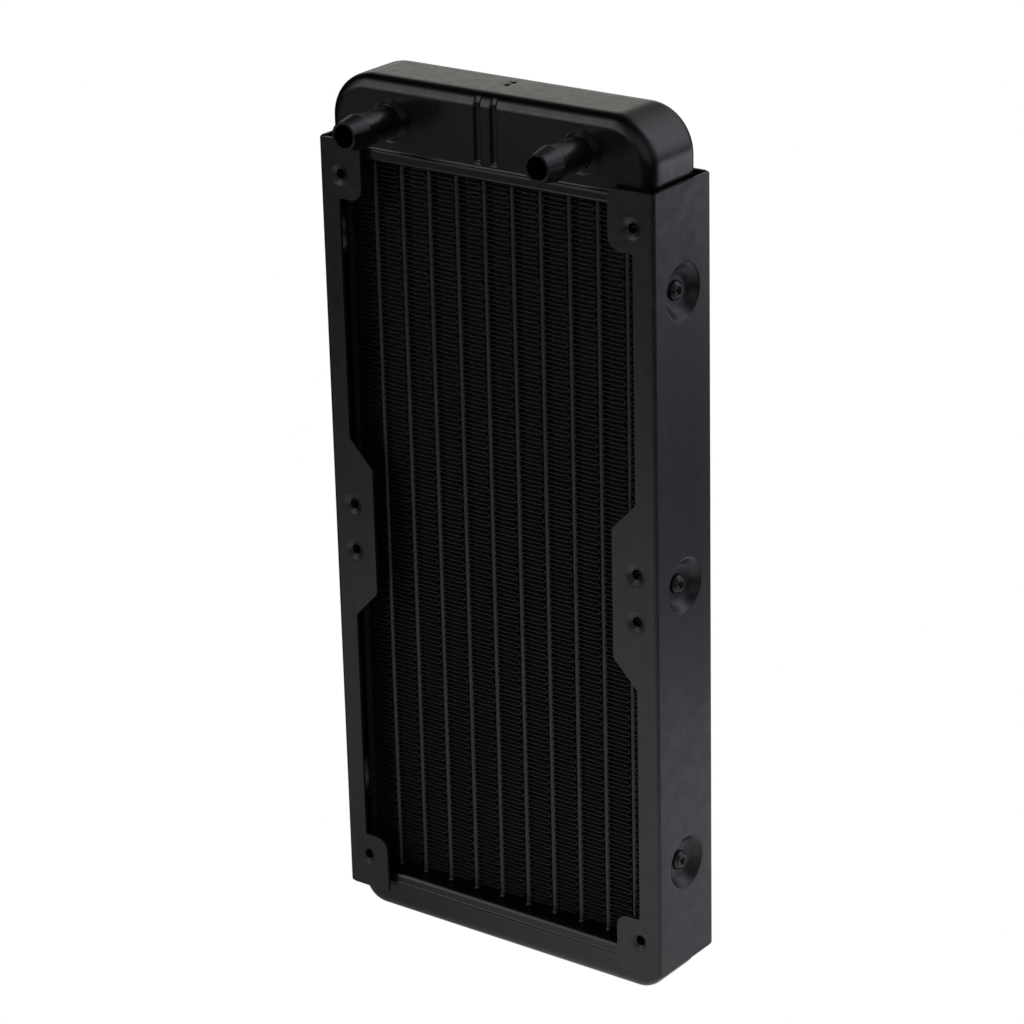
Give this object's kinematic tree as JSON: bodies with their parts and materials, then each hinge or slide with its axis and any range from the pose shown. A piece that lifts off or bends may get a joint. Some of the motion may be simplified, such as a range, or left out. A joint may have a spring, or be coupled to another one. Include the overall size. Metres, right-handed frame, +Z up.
{
  "type": "liquid cooling radiator",
  "caption": "Slim black water-cooling radiator: finned tube core between drawn tanks in folded side panels, with hose barbs on the upper tank's face.",
  "frame": {"origin": "middle of the flat underside of the bottom tank", "axes": "+Z up along the radiator's length towards the tank with the barbs, +X across its width to the right seen from the barb side, -Y the way the barbs point"},
  "size_m": [0.12, 0.0482, 0.2743],
  "materials": {
    "panel_paint": "satin black paint on folded sheet steel",
    "tank_paint": "semi-gloss black paint on drawn and turned brass",
    "core_paint": "thin matt black paint on copper fins and brass tubes",
    "rivet_paint": "semi-gloss black paint on blind rivets"
  },
  "bodies": {
    "root": {"side_panel_left": "panel_paint", "core_side_plate_left": "core_paint", "rivet_left_1": "rivet_paint", "rivet_left_2": "rivet_paint", "rivet_left_3": "rivet_paint", "side_panel_right": "panel_paint", "core_side_plate_right": "core_paint", "rivet_right_1": "rivet_paint", "rivet_right_2": "rivet_paint", "rivet_right_3": "rivet_paint", "water_tube_01": "core_paint", "water_tube_02": "core_paint", "water_tube_03": "core_paint", "water_tube_04": "core_paint", "water_tube_05": "core_paint", "water_tube_06": "core_paint", "water_tube_07": "core_paint", "water_tube_08": "core_paint", "water_tube_09": "core_paint", "water_tube_10": "core_paint", "fin_strip_01": "core_paint", "fin_strip_02": "core_paint", "fin_strip_03": "core_paint", "fin_strip_04": "core_paint", "fin_strip_05": "core_paint", "fin_strip_06": "core_paint", "fin_strip_07": "core_paint", "fin_strip_08": "core_paint", "fin_strip_09": "core_paint", "fin_strip_10": "core_paint", "fin_strip_11": "core_paint", "top_header": "tank_paint", "bottom_header": "tank_paint", "top_tank": "tank_paint", "bottom_tank": "tank_paint", "tank_divider": "core_paint", "hose_barb_left": "tank_paint", "hose_barb_right": "tank_paint"}
  },
  "joints": []
}
